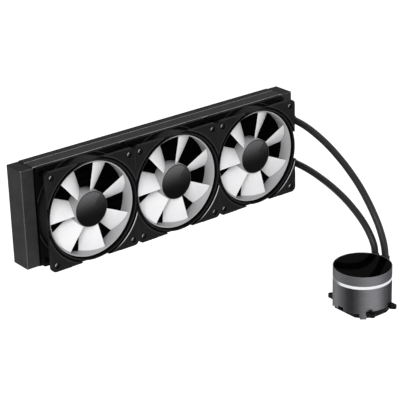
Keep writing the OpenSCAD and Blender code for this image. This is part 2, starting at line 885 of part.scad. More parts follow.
// Floor of the impeller's chamber, which holds the shaft's foot
module chamber_plate() {
    color(black_plastic) at_pump() difference() {
        translate([0, 0, body_z]) cylinder(h = chamber_plate_t, r = chamber_r - slip);
        translate([0, 0, body_z + chamber_foot_z]) cylinder(h = pump_h, d = pump_shaft_d);
        for (i = [0 : 3])
            rotate(i * 90) translate([chamber_r / 2, 0, 0]) cylinder(h = pump_h, r = chamber_hole_r);
    }
}

// Dark plate under the body, with a pocket for the cold plate
module base_frame() {
    color(black_plastic) at_pump() difference() {
        intersection() {
            union() {
                translate([0, 0, (base_z + bracket_z) / 2])
                    cube([base_x, base_y, bracket_z - base_z], center = true);
                translate([0, 0, (bracket_z + body_z) / 2])
                    cube([base_x, 2 * bracket_y, body_z - bracket_z], center = true);
            }
            cylinder(h = pump_h, r = body_r);
        }
        linear_extrude(plate_t + gasket_t) plate_outline();
        cylinder(h = pump_h, r = chamber_r - 1);
        plate_screw_places() cylinder(h = plate_screw_head_t + plate_screw_l + fit, r = plate_screw_r + eps);
        socket_pocket();
    }
}

// Outline of the cold plate, a rectangle with its corners cut round
module plate_outline() {
    intersection() {
        square([plate_x, plate_y], center = true);
        circle(plate_r);
    }
}

// Puts its children at the cold plate's eight screws
module plate_screw_places() {
    for (x = sides, y = sides) {
        translate([x * plate_x / 4, y * (plate_y / 2 - 4.5), 0]) children();
        translate([x * (plate_x / 2 - 3), y * plate_y / 6, 0]) children();
    }
}

// Copper plate with fine ribs on its wet side
module cold_plate() {
    ribs = 14;
    rib_l = 22;
    rib_h = 2.4;
    rib_pitch = 1.6;
    color(copper) at_pump() {
        difference() {
            linear_extrude(plate_t) plate_outline();
            plate_screw_places() translate([0, 0, -eps]) cylinder(h = plate_t + 2 * eps, r = plate_screw_r + eps);
            plate_screw_places() translate([0, 0, -eps])
                cylinder(h = plate_screw_head_t + 2 * eps, r = plate_screw_head_r + eps);
        }
        for (i = [0 : ribs - 1])
            translate([(i - (ribs - 1) / 2) * rib_pitch - 0.4, -rib_l / 2, plate_t - eps])
                cube([0.8, rib_l, rib_h + eps]);
    }
}

module plate_gasket() {
    color(rubber) at_pump() translate([0, 0, plate_t]) linear_extrude(gasket_t) difference() {
        plate_outline();
        circle(chamber_r - 1);
        plate_screw_places() circle(plate_screw_r + eps);
    }
}

module plate_screws() {
    color(bare_metal) at_pump() plate_screw_places() {
        translate([0, 0, eps]) cylinder(h = plate_screw_head_t, r = plate_screw_head_r);
        translate([0, 0, eps]) cylinder(h = plate_screw_head_t + plate_screw_l, r = plate_screw_r);
    }
}

// Bracket with two ears, held between the base and the body
module bracket(side) {
    bar_w = ear_x + 2 * ear_margin;
    gap_angle = 90 - leg_angle - leg_turn / 2 - 1;
    color(black_metal) at_pump() translate([0, 0, bracket_z]) linear_extrude(bracket_t) difference() {
        union() {
            intersection() {
                translate([-bar_w / 2, side > 0 ? bracket_y + fit : -bracket_y - fit - pump_r])
                    square([bar_w, pump_r]);
                circle(pump_r - 1);
            }
            for (x = sides)
                translate([x * ear_x / 2, side * ear_y / 2]) circle(ear_r);
            for (x = sides)
                translate([x * ear_x / 2 - ear_r, side > 0 ? bracket_y + fit : -ear_y / 2])
                    square([2 * ear_r, ear_y / 2 - bracket_y - fit]);
        }
        // Room for the sleeve's legs
        difference() {
            circle(pump_r + fit);
            circle(body_r);
            rotate(side * 90) sector(gap_angle);
        }
        for (x = sides)
            translate([x * ear_x / 2, side * ear_y / 2]) circle(d = ear_hole_d);
    }
}

// Elbow with a stub in the body and a barb that points up
module elbow(side) {
    color(black_metal) at_port(side) {
        difference() {
            union() {
                translate([port_depth, 0, port_z]) rotate([0, 90, 0])
                    cylinder(h = elbow_reach - bend_r - port_depth, r = stub_r);
                elbow_bend(stub_r + bend_extra);
                translate([elbow_reach, 0, collar_z - collar_t]) cylinder(h = collar_t, r = collar_r);
            }
            translate([port_depth - eps, 0, port_z]) rotate([0, 90, 0])
                cylinder(h = elbow_reach - bend_r - port_depth + 2 * eps, d = fitting_bore_d);
            elbow_bend(fitting_bore_d / 2 - bend_extra / 2);
            translate([elbow_reach, 0, collar_z - collar_t - eps])
                cylinder(h = collar_t + 2 * eps, d = fitting_bore_d);
            translate([seal_x, 0, port_z]) rotate([0, 90, 0]) ring(pump_r, stub_r + fit - 2 * seal_r, 2 * seal_r);
        }
        translate([elbow_reach, 0, collar_z]) barb_stem();
    }
}

// Quarter bend from the stub to the barb
module elbow_bend(r) {
    translate([elbow_reach - bend_r, 0, port_z + bend_r]) rotate([90, 0, 0])
        rotate([0, 0, -90]) rotate_extrude(angle = 90) translate([bend_r, 0]) circle(r);
}

module elbow_seals() {
    color(rubber)
        for (side = sides)
            at_port(side) translate([seal_x + seal_r, 0, port_z]) rotate([0, 90, 0])
                rotate_extrude() translate([stub_r + fit - seal_r, 0]) circle(seal_r);
}

// Housing with contact pins, behind the slot in the sleeve
module connector_socket() {
    pins = 5;
    pin_w = 0.8;
    pin_pitch = 1.7;
    pin_l = 3.5;
    floor_t = 1.5;
    back = -body_r + socket_depth - fit;
    color(black_plastic) at_pump() {
        difference() {
            intersection() {
                translate([-body_r, -slot_w / 2 - socket_wall + fit / 2, slot_z - slot_h / 2 - socket_wall + fit / 2])
                    cube([socket_depth - fit, slot_w + 2 * socket_wall - fit, slot_h + 2 * socket_wall - fit]);
                cylinder(h = pump_h, r = body_r);
            }
            translate([-body_r - eps, -slot_w / 2, slot_z - slot_h / 2])
                cube([socket_depth - fit - floor_t + eps, slot_w, slot_h]);
        }
        for (i = [0 : pins - 1])
            translate([back - floor_t - pin_l, (i - (pins - 1) / 2) * pin_pitch - pin_w / 2, slot_z - pin_w / 2])
                cube([pin_l + eps, pin_w, pin_w]);
    }
}

flat_tubes();
fin_strips();
header(-1);  // left_header
header(1);  // right_header
left_tank();
right_tank();
top_rail();
bottom_rail();
radiator_barb(1);  // inlet_barb
radiator_barb(-1);  // outlet_barb
hose_ferrules();
fan_screws();
fan_boards();
at_fan(-1) fan_frame();  // left_fan_frame
at_fan(0) fan_frame();  // middle_fan_frame
at_fan(1) fan_frame();  // right_fan_frame
at_fan(-1) impeller();  // left_impeller
at_fan(0) impeller();  // middle_impeller
at_fan(1) impeller();  // right_impeller
at_fan(-1) hub_cap();  // left_hub_cap
at_fan(0) hub_cap();  // middle_hub_cap
at_fan(1) hub_cap();  // right_hub_cap
at_fan(-1) rotor_yoke();  // left_rotor_yoke
at_fan(0) rotor_yoke();  // middle_rotor_yoke
at_fan(1) rotor_yoke();  // right_rotor_yoke
at_fan(-1) rotor_magnet();  // left_rotor_magnet
at_fan(0) rotor_magnet();  // middle_rotor_magnet
at_fan(1) rotor_magnet();  // right_rotor_magnet
at_fan(-1) fan_shaft();  // left_fan_shaft
at_fan(0) fan_shaft();  // middle_fan_shaft
at_fan(1) fan_shaft();  // right_fan_shaft
at_fan(-1) fan_bearing();  // left_fan_bearing
at_fan(0) fan_bearing();  // middle_fan_bearing
at_fan(1) fan_bearing();  // right_fan_bearing
at_fan(-1) fan_stator();  // left_fan_stator
at_fan(0) fan_stator();  // middle_fan_stator
at_fan(1) fan_stator();  // right_fan_stator
upper_hose();
lower_hose();
pump_sleeve();
crown_ring();
light_ring();
top_disc();
pump_board();
pump_body();
pump_stator();
pump_shaft();
pump_impeller();
chamber_plate();
base_frame();
cold_plate();
plate_gasket();
plate_screws();
bracket(-1);  // front_bracket
bracket(1);  // rear_bracket
elbow(-1);  // inlet_elbow
elbow(1);  // outlet_elbow
elbow_seals();
connector_socket();
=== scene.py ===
"""Looks of an all in one liquid cooler: a radiator with three ringed fans, two hoses and a pump block."""
import math

import bpy
from mathutils import Matrix, Vector


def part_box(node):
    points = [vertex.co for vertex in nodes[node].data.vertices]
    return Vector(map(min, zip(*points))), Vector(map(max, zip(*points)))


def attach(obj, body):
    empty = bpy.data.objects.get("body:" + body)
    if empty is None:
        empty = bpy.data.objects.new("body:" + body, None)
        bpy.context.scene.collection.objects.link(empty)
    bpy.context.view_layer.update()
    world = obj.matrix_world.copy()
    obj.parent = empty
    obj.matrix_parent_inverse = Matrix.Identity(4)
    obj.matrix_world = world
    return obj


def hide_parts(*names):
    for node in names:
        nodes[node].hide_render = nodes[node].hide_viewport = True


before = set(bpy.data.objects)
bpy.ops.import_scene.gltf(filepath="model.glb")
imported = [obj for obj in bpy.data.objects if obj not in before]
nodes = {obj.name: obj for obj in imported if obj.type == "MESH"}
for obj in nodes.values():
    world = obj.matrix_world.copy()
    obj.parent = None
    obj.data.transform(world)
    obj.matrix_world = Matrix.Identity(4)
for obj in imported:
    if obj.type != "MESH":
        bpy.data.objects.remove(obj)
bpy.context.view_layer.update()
MM = 0.001
SIDES = ("left", "middle", "right")

# Places on the solids that the materials follow, in metres: the fans' spacing, a screw's distance from its
# fan's axis, the ends of the rails, and where the fans' and the radiator's front edges start
FAN_PITCH = 0.12
SCREW_PLACE = 0.0525
RAIL_END = 0.18
FAN_FRONT = -0.0508
RADIATOR_FRONT = -0.0275

# Camera, at the photograph's viewing angle
CAMERA_PLACE = Vector((-1.0153, -1.4141, 0.6941))
CAMERA_AIM = Vector((0.0495, -0.029, -0.0437))
CAMERA_ROLL = math.radians(-1.768)
CAMERA_LENS = 142.1

# Hose routes, in metres, as in the solids
HOSE_DIAMETER = 0.0084
HOSE_SIDES = 28
HOSE_STEPS = 6
UPPER_ROUTE = [
    (0.188, -0.031, 0.028), (0.188, -0.043, 0.028), (0.188, -0.059, 0.0264), (0.1877, -0.074, 0.0233),
    (0.1873, -0.089, 0.019), (0.1867, -0.104, 0.0137), (0.1859, -0.119, 0.0072), (0.1849, -0.136, -0.0015),
    (0.1839, -0.15, -0.01), (0.1829, -0.163, -0.019), (0.182, -0.174, -0.0282), (0.1811, -0.1838, -0.0376),
    (0.1804, -0.1925, -0.0474), (0.1799, -0.2002, -0.0576), (0.1794, -0.2066, -0.0686),
    (0.179, -0.2115, -0.08), (0.1787, -0.2141, -0.092), (0.1787, -0.2142, -0.105),
]
LOWER_ROUTE = [
    (0.188, -0.031, -0.028), (0.188, -0.043, -0.028), (0.1879, -0.059, -0.0287), (0.1872, -0.075, -0.0301),
    (0.1861, -0.0905, -0.0322), (0.1847, -0.1065, -0.0349), (0.1831, -0.1225, -0.0383),
    (0.1812, -0.1385, -0.0426), (0.1795, -0.152, -0.0472), (0.1774, -0.1677, -0.054),
    (0.176, -0.1812, -0.0623), (0.175, -0.1916, -0.0717), (0.1746, -0.1987, -0.082),
    (0.1744, -0.2014, -0.092), (0.1744, -0.2015, -0.105),
]

# Angles round the pump block's axis: where the bands of painted reflection start, and where the light ring
# fades out into painted shade
BACK_ANGLE = math.radians(45)
RING_SHADE_ANGLE = math.radians(140)

# Grey levels of the bands of painted reflection on the turned metal, by the share of a turn. The crown's are
# flatter
SLEEVE_REFLECTION_BANDS = (
    (0.0, 0.09), (0.08, 0.15), (0.18, 0.05), (0.27, 0.14), (0.32, 0.175), (0.345, 0.15), (0.372, 0.095),
    (0.41, 0.04), (0.438, 0.022), (0.46, 0.028), (0.488, 0.06), (0.532, 0.13), (0.584, 0.15), (0.632, 0.08),
    (0.66, 0.06), (0.694, 0.05), (0.78, 0.12), (0.9, 0.05), (1.0, 0.09),
)
CROWN_BASE, CROWN_CONTRAST = 0.065, 0.48
CROWN_REFLECTION_BANDS = tuple((share, CROWN_BASE + CROWN_CONTRAST * tone) for share, tone in SLEEVE_REFLECTION_BANDS)

# Fan wheel, in millimetres and degrees. A blade's leading and trailing edges stand at these angles
BLADES = 7
BLADE_THICKNESS = 1.8
BLADE_CAMBER = 1.6
LEAD_HUB, LEAD_TIP = 87.5, 82.3
TRAIL_HUB, TRAIL_TIP = 49.0, 53.2
BLADE_INSET_FRONT = 2.8
BLADE_INSET_BACK = 1.0
HUB_R = 21.5
HUB_WALL = 1.9
HUB_LIP = 0.7
HUB_SHELF = 3.0
CAP_SEAT = 1.0
CAP_RIM = 0.35
CAP_DOME = 0.5
CAP_STEPS = 16
RING_WALL = 1.3
RING_SOFT = 0.4
BLADE_STEPS_R, BLADE_STEPS_C = 14, 18
ROUND_STEPS = 96

# Core, in millimetres. A fold's crest is a share of its period
FIN_PERIOD = 2.4
FIN_SHEET = 0.16
FIN_CREST = 0.22
TUBES = 12
TUBE_T = 2.0

# Light and floor
WORLD_LEVEL = 0.35
FLOOR_HEIGHT = -0.55
FLOOR_SIZE = 12.0
FLOOR_GLOW = 0.75
LIGHT_AIM = (0.0, -0.05, -0.03)


def set_camera():
    """The camera, turned from its place to its aim and rolled."""
    camera = bpy.data.objects.new("camera", bpy.data.cameras.new("camera"))
    bpy.context.scene.collection.objects.link(camera)
    forward = (CAMERA_AIM - CAMERA_PLACE).normalized()
    level = forward.cross(Vector((0, 0, 1))).normalized()
    upright = level.cross(forward)
    right = math.cos(CAMERA_ROLL) * level + math.sin(CAMERA_ROLL) * upright
    up = math.cos(CAMERA_ROLL) * upright - math.sin(CAMERA_ROLL) * level
    turn = Matrix((right, up, -forward)).transposed().to_4x4()
    camera.matrix_world = Matrix.Translation(CAMERA_PLACE) @ turn
    camera.data.sensor_fit = "HORIZONTAL"
    camera.data.lens = CAMERA_LENS
    bpy.context.scene.camera = camera


def mesh_piece(name, points, faces, material, body, smooth=True):
    """A mesh, given by its places in the world, that rides on a body."""
    mesh = bpy.data.meshes.new(name)
    mesh.from_pydata([tuple(p) for p in points], [], faces)
    mesh.update()
    mesh.polygons.foreach_set("use_smooth", [smooth] * len(mesh.polygons))
    mesh.materials.append(material)
    piece = bpy.data.objects.new(name, mesh)
    bpy.context.scene.collection.objects.link(piece)
    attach(piece, body)
    return piece


def smooth_route(route, steps):
    """Catmull-Rom curve through a route's points."""
    points = [Vector(p) for p in route]
    points = [2 * points[0] - points[1]] + points + [2 * points[-1] - points[-2]]
    curve = []
    for i in range(1, len(points) - 2):
        a, b, c, d = points[i - 1:i + 3]
        for k in range(steps):
            t = k / steps
            curve.append(0.5 * (2 * b + (c - a) * t + (2 * a - 5 * b + 4 * c - d) * t * t
                                + (3 * b - 3 * c + d - a) * t ** 3))
    curve.append(points[-2])
    return curve


def hose_piece(name, route, material):
    """A smooth tube along a route, closed at both ends."""
    curve = smooth_route(route, HOSE_STEPS)
    points, faces = [], []
    for i, p in enumerate(curve):
        along = (curve[min(i + 1, len(curve) - 1)] - curve[max(i - 1, 0)]).normalized()
        u = along.cross(Vector((1, 0, 0))).normalized()
        v = along.cross(u)
        for k in range(HOSE_SIDES):
            turn = math.tau * k / HOSE_SIDES
            points.append(p + HOSE_DIAMETER / 2 * (math.cos(turn) * u + math.sin(turn) * v))
    for i in range(len(curve) - 1):
        for k in range(HOSE_SIDES):
            a, b = i * HOSE_SIDES + k, i * HOSE_SIDES + (k + 1) % HOSE_SIDES
            faces.append((b, a, a + HOSE_SIDES, b + HOSE_SIDES))
    last = (len(curve) - 1) * HOSE_SIDES
    faces.append(tuple(range(HOSE_SIDES)))
    faces.append(tuple(last + k for k in reversed(range(HOSE_SIDES))))
    piece = mesh_piece(name, points, faces, material, "cooler")
    length = sum((b - a).length for a, b in zip(curve, curve[1:]))
    return piece, curve, length


# Materials. A grain is the scale of its noise and its depth in metres, and a Mix node's colours have numbers
FINE_GRAIN = (900, 0.00004)
COLOR_A, COLOR_B = 6, 7


def socket(node, name, value):
    node.inputs[name].default_value = value


class Surface:
    """A material's nodes, with short calls for what repeats."""

    def __init__(self, name):
        self.material = bpy.data.materials.new(name)
        self.material.use_nodes = True
        self.tree = self.material.node_tree
        self.bsdf = self.tree.nodes["Principled BSDF"]
        self.place = self.add("ShaderNodeTexCoord").outputs["Object"]

    def add(self, kind, **settings):
        node = self.tree.nodes.new(kind)
        for key, value in settings.items():
            setattr(node, key, value)
        return node

    def link(self, out, into):
        self.tree.links.new(out, into)

    def noise(self, scale, detail=3.0, place=None):
        node = self.add("ShaderNodeTexNoise")
        socket(node, "Scale", scale)
        socket(node, "Detail", detail)
        self.link(place or self.place, node.inputs["Vector"])
        return node.outputs["Fac"]

    def spread(self, value, low, high):
        """Maps 0.3 to 0.7, where noise mostly lies, to low and high."""
        node = self.add("ShaderNodeMapRange")
        for name, number in (("From Min", 0.3), ("From Max", 0.7), ("To Min", low), ("To Max", high)):
            socket(node, name, number)
        self.link(value, node.inputs["Value"])
        return node.outputs["Result"]

    def math(self, operation, a, b=0.0):
        node = self.add("ShaderNodeMath", operation=operation)
        for i, value in enumerate((a, b)):
            if isinstance(value, (int, float)):
                node.inputs[i].default_value = value
            else:
                self.link(value, node.inputs[i])
        return node.outputs[0]

    def mix(self, factor, a, b):
        node = self.add("ShaderNodeMix", data_type="RGBA")
        self.link(factor, node.inputs[0])
        for i, value in ((COLOR_A, a), (COLOR_B, b)):
            if isinstance(value, tuple):
                node.inputs[i].default_value = (*value, 1.0)
            else:
                self.link(value, node.inputs[i])
        return node.outputs[2]

    def bump(self, height, distance, strength, normal=None):
        node = self.add("ShaderNodeBump")
        socket(node, "Strength", strength)
        socket(node, "Distance", distance)
        self.link(height, node.inputs["Height"])
        if normal:
            self.link(normal, node.inputs["Normal"])
        return node.outputs["Normal"]

    def round_edges(self, radius):
        node = self.add("ShaderNodeBevel", samples=6)
        socket(node, "Radius", radius)
        return node.outputs["Normal"]

    def edge_mask(self, rounded):
        """1 on an edge, 0 on a flat face."""
        geometry = self.add("ShaderNodeNewGeometry")
        dot = self.add("ShaderNodeVectorMath", operation="DOT_PRODUCT")
        self.link(rounded, dot.inputs[0])
        self.link(geometry.outputs["Normal"], dot.inputs[1])
        node = self.add("ShaderNodeMapRange")
        for name, number in (("From Min", 0.995), ("From Max", 0.92), ("To Min", 0.0), ("To Max", 1.0)):
            socket(node, name, number)
        self.link(dot.outputs["Value"], node.inputs["Value"])
        return node.outputs["Result"]

    def facing(self, direction):
        """1 on faces that look along a direction, 0 on the others."""
        geometry = self.add("ShaderNodeNewGeometry")
        dot = self.add("ShaderNodeVectorMath", operation="DOT_PRODUCT")
        self.link(geometry.outputs["True Normal"], dot.inputs[0])
        dot.inputs[1].default_value = direction
        return self.math("GREATER_THAN", dot.outputs["Value"], 0.7)

    def around(self, centre):
        """Place measured from a vertical axis."""
        move = self.add("ShaderNodeVectorMath", operation="SUBTRACT")
        move.inputs[1].default_value = centre
        self.link(self.place, move.inputs[0])
        return move.outputs[0]

    def split(self, place):
        node = self.add("ShaderNodeSeparateXYZ")
        self.link(place, node.inputs[0])
        return node.outputs

    def from_fan_axis(self):
        """x and z measured from the nearest fan's axis."""
        x, _, z = self.split(self.place)
        shifted = self.math("MODULO", self.math("ADD", x, 1.5 * FAN_PITCH), FAN_PITCH)
        return self.math("SUBTRACT", shifted, FAN_PITCH / 2), z

    def from_fan_screw(self):
        """x and z measured from the nearest fan screw's axis."""
        from_screw = []
        for value in self.from_fan_axis():
            screw = self.math("MULTIPLY", self.math("SIGN", value), SCREW_PLACE)
            from_screw.append(self.math("SUBTRACT", value, screw))
        return from_screw

    def length(self, x, z):
        node = self.add("ShaderNodeVectorMath", operation="LENGTH")
        join = self.add("ShaderNodeCombineXYZ")
        self.link(x, join.inputs["X"])
        self.link(z, join.inputs["Z"])
        self.link(join.outputs[0], node.inputs[0])
        return node.outputs["Value"]

    def along(self, x, z, angle):
        """How far a place lies in a direction, given by its angle from +X towards +Z."""
        turn = math.radians(angle)
        across = self.math("MULTIPLY", x, math.cos(turn))
        return self.math("ADD", across, self.math("MULTIPLY", z, math.sin(turn)))

    def rise(self, value, low, high):
        """Smooth mask, 0 below low and 1 above high."""
        node = self.add("ShaderNodeMapRange", interpolation_type="SMOOTHSTEP")
        for name, number in (("From Min", low), ("From Max", high), ("To Min", 0.0), ("To Max", 1.0)):
            socket(node, name, number)
        self.link(value, node.inputs["Value"])
        return node.outputs["Result"]

    def band(self, value, low, high, soft):
        """Mask that is 1 between low and high."""
        return self.math("MULTIPLY", self.rise(value, low - soft, low + soft),
                         self.math("SUBTRACT", 1.0, self.rise(value, high - soft, high + soft)))

    def mottled(self, color, vary):
        """A colour with faint lighter and darker clouds."""
        cloud = self.spread(self.noise(55, 4.0), 0.0, 1.0)
        return self.mix(cloud, shade(color, 1 - vary), shade(color, 1 + vary))

    def finish_with_edge_highlight(self, base, rough, grain, edge, edge_highlight, specular, metallic=0.0, highlight_area=None):
        """Softened edges that catch light and are painted lighter as a highlight, fine grain and uneven
        roughness on a base colour.
        """
        rounded = self.round_edges(edge)
        lit = self.edge_mask(rounded)
        if highlight_area:
            lit = self.math("MULTIPLY", lit, highlight_area)
        # Edges are mixed towards a lighter colour: a painted highlight, kept to an area when one is given.
        self.link(self.mix(lit, base, edge_highlight), self.bsdf.inputs["Base Color"])
        uneven = self.spread(self.noise(160), rough - 0.05, rough + 0.05)
        self.link(uneven, self.bsdf.inputs["Roughness"])
        self.link(self.bump(self.noise(grain[0], 2.0), grain[1], 0.6, rounded), self.bsdf.inputs["Normal"])
        socket(self.bsdf, "Metallic", metallic)
        socket(self.bsdf, "Specular IOR Level", specular)
        return self.material


def shade(color, factor):
    return tuple(min(1.0, c * factor) for c in color)


def finished_material_with_edge_highlight(name, color, rough, metallic=0.0, grain=FINE_GRAIN, vary=0.18, specular=0.04):
    """Moulded, painted or cast surface, with a painted highlight on its edges."""
    s = Surface(name)
    return s.finish_with_edge_highlight(s.mottled(color, vary), rough=rough, grain=grain, edge=0.0004,
                    edge_highlight=shade(color, 1.6), specular=specular, metallic=metallic)


def tank_material(name, color, top_shade, edge_highlight):
    """Paint of the end tanks, with painted shade on their tops and a painted highlight on the edges of the
    outer and upper part of their front.
    """
    past_rail = 0.002
    upper_edge = 0.0575
    s = Surface(name)
    # Tops darker: painted shade.
    base = s.mix(s.facing((0, 0, 1)), s.mottled(color, 0.18), top_shade)
    x, y, z = s.split(s.place)
    # Painted highlight on the edges of the outer and upper part of the front.
    outer = s.math("GREATER_THAN", s.math("ABSOLUTE", x), RAIL_END + past_rail)
    upper = s.math("GREATER_THAN", z, upper_edge)
    highlight_zone = s.math("MULTIPLY", s.math("MAXIMUM", outer, upper), s.math("LESS_THAN", y, RADIATOR_FRONT))
    return s.finish_with_edge_highlight(base, rough=0.45, grain=FINE_GRAIN, edge=0.001, edge_highlight=edge_highlight, specular=0.02,
                    highlight_area=highlight_zone)


def rail_material(name, color, front_shadow, groove_highlight, edge_highlight):
    """Paint of the side rails, with painted shadow that makes their front near black, painted highlights
    along the groove and the front bend, and darker behind.
    """
    groove_highlight_band = (-0.0123, -0.0107)
    dark_behind = (-0.0108, -0.0104)
    bend_start = (-0.0278, -0.0281)
    bend_height = 0.0592
    s = Surface(name)
    _, y, z = s.split(s.place)
    # Front faces near black: painted shadow.
    base = s.mix(s.facing((0, -1, 0)), s.mottled(color, 0.15), front_shadow)
    base = s.mix(s.rise(y, *dark_behind), base, shade(color, 0.45))
    # A pale line along the groove: painted highlight.
    base = s.mix(s.band(y, *groove_highlight_band, 0.0002), base, groove_highlight)
    # A pale front bend: painted highlight.
    outside = s.math("GREATER_THAN", s.math("ABSOLUTE", z), bend_height)
    bend = s.math("MULTIPLY", s.rise(y, *bend_start), outside)
    return s.finish_with_edge_highlight(s.mix(bend, base, edge_highlight), rough=0.45, grain=FINE_GRAIN, edge=0.0003,
                    edge_highlight=shade(color, 1.5), specular=0.02)


def frame_material(name, color, edge_highlight, dark):
    """Fan frame, with painted shade that makes it black in the groove round the bore, in the screw recesses,
    behind the blades and near the radiator and darker on its tops, and a light line of painted highlight
    round the groove, brightest on its lower right."""
    groove_floor = (0.0595, 0.0623)
    groove_walls = (0.0592, 0.0627)
    groove_half, groove_front = 0.0593, -0.0503
    line, gleam_line = (0.0624, 0.0631), (0.0622, 0.0634)
    gleam_angle, gleam_rise = -30, (0.052, 0.061)
    near_radiator = (-0.038, -0.031)
    recess = (0.0036, 0.0038)
    bore = (0.0576, 0.058)
    edge_front = -0.045
    s = Surface(name)
    x, z = s.from_fan_axis()
    _, y, _ = s.split(s.place)
    r = s.length(x, z)
    front = s.facing((0, -1, 0))
    floor = s.band(r, *groove_floor, 0.0001)
    walls = s.math("MULTIPLY", s.band(r, *groove_walls, 0.0001), s.math("SUBTRACT", 1.0, front))
    widest = s.math("MAXIMUM", s.math("ABSOLUTE", x), s.math("ABSOLUTE", z))
    inside = s.math("LESS_THAN", widest, groove_half)
    inside = s.math("MULTIPLY", inside, s.math("LESS_THAN", y, groove_front))
    # Tops darker: painted shade.
    base = s.mix(s.facing((0, 0, 1)), s.mottled(color, 0.2), shade(color, 0.35))
    # Black near the radiator: painted shadow.
    base = s.mix(s.rise(y, *near_radiator), base, dark)
    # A light line round the groove: painted highlight.
    base = s.mix(s.math("MULTIPLY", s.band(r, *line, 0.0002), front), base, edge_highlight)
    # Brightest on the lower right: painted highlight.
    lower_right = s.rise(s.along(x, z, gleam_angle), *gleam_rise)
    gleam = s.math("MULTIPLY", lower_right, s.band(r, *gleam_line, 0.0003))
    base = s.mix(s.math("MULTIPLY", gleam, front), base, shade(edge_highlight, 14))
    # Black in the groove: painted shade.
    base = s.mix(s.math("MULTIPLY", s.math("MAXIMUM", floor, walls), inside), base, dark)
    # Black in the screw recesses: painted shade.
    base = s.mix(s.rise(s.length(*s.from_fan_screw()), *recess), dark, base)
    # Black behind the blades: painted shade.
    base = s.mix(s.rise(r, *bore), dark, base)
    # Painted edge highlights only towards the front.
    highlight_area = s.math("LESS_THAN", y, edge_front)
    return s.finish_with_edge_highlight(base, rough=0.5, grain=(1400, 0.00005), edge=0.0005, edge_highlight=edge_highlight, specular=0.03,
                    highlight_area=highlight_area)


def screw_material(name, color, glint):
    """Screws with a painted highlight on the upper left side of their heads."""
    glint_angle, glint_rise = 140, (0.0003, 0.0012)
    head_rim = (0.0024, 0.0021)
    s = Surface(name)
    x, z = s.from_fan_screw()
    _, y, _ = s.split(s.place)
    # Painted highlight on the heads' upper left.
    upper_left = s.rise(s.along(x, z, glint_angle), *glint_rise)
    shine = s.math("MULTIPLY", upper_left, s.rise(s.length(x, z), *head_rim))
    shine = s.math("MULTIPLY", shine, s.math("LESS_THAN", y, FAN_FRONT))
    return s.finish_with_edge_highlight(s.mix(shine, color, glint), rough=0.3, grain=(900, 0.00002), edge=0.0003,
                    edge_highlight=shade(color, 2), specular=0.1, metallic=0.5)


def brushed_with_painted_bands(name, tones, rough, centre):
    """Metal turned round a vertical axis, with fine streaks round it and upright bands of painted reflection
    in its colour. tones are the grey levels of these bands, by the share of a turn from its back."""
    streaks_round, streaks_up = 2.0, 2600.0
    s = Surface(name)
    x, y, z = s.split(s.around(centre))
    angle = s.math("ARCTAN2", y, x)
    join = s.add("ShaderNodeCombineXYZ")
    s.link(s.math("MULTIPLY", angle, streaks_round), join.inputs["X"])
    s.link(s.math("MULTIPLY", z, streaks_up), join.inputs["Z"])
    lines = s.noise(1.0, 5.0, join.outputs[0])
    # The ramp paints upright bands of reflection by the angle round the axis.
    ramp = s.add("ShaderNodeValToRGB")
    ramp.color_ramp.interpolation = "CARDINAL"
    while len(ramp.color_ramp.elements) < len(tones):
        ramp.color_ramp.elements.new(0.5)
    for stop, (share, tone) in zip(ramp.color_ramp.elements, tones):
        stop.position = share
        stop.color = (tone, tone, tone * 1.06, 1.0)
    from_back = s.math("ADD", angle, math.tau - BACK_ANGLE)
    s.link(s.math("DIVIDE", s.math("MODULO", from_back, math.tau), math.tau), ramp.inputs[0])
    rounded = s.round_edges(0.0003)
    base = s.add("ShaderNodeMix", data_type="RGBA", blend_type="MULTIPLY")
    base.inputs[0].default_value = 1.0
    s.link(ramp.outputs[0], base.inputs[COLOR_A])
    streaks = s.mix(s.spread(lines, 0.0, 1.0), (0.75, 0.75, 0.75), (1.25, 1.25, 1.25))
    s.link(streaks, base.inputs[COLOR_B])
    # Lighter edges: painted highlight.
    s.link(s.mix(s.edge_mask(rounded), base.outputs[2], (0.3, 0.3, 0.31)), s.bsdf.inputs["Base Color"])
    s.link(s.spread(lines, rough - 0.05, rough + 0.05), s.bsdf.inputs["Roughness"])
    s.link(s.bump(lines, 0.00001, 0.5, rounded), s.bsdf.inputs["Normal"])
    tangent = s.add("ShaderNodeTangent", direction_type="RADIAL", axis="Z")
    s.link(tangent.outputs[0], s.bsdf.inputs["Tangent"])
    socket(s.bsdf, "Specular Tint", (0.4, 0.4, 0.41, 1.0))
    socket(s.bsdf, "Anisotropic", 0.8)
    socket(s.bsdf, "Metallic", 1.0)
    return s.material


def white_moulding(name, color, hub_shade, ring_shade):
    """White plastic with a faint flow pattern, and painted shade that makes it greyer on the hub and on the
    blades' ring.
    """
    hub_edge, ring_edge = (0.0208, 0.0225), (0.0535, 0.0541)
    s = Surface(name)
    base = s.mix(s.spread(s.noise(70), 0.0, 1.0), shade(color, 0.97), color)
    r = s.length(*s.from_fan_axis())
    # Hub and ring greyer: painted shade.
    base = s.mix(s.rise(r, *hub_edge), hub_shade, base)
    base = s.mix(s.rise(r, *ring_edge), base, ring_shade)
    s.link(base, s.bsdf.inputs["Base Color"])
    s.link(s.spread(s.noise(300), 0.38, 0.48), s.bsdf.inputs["Roughness"])
    s.link(s.bump(s.noise(1500, 2.0), 0.00002, 0.5), s.bsdf.inputs["Normal"])
    socket(s.bsdf, "Specular IOR Level", 0.3)
    return s.material


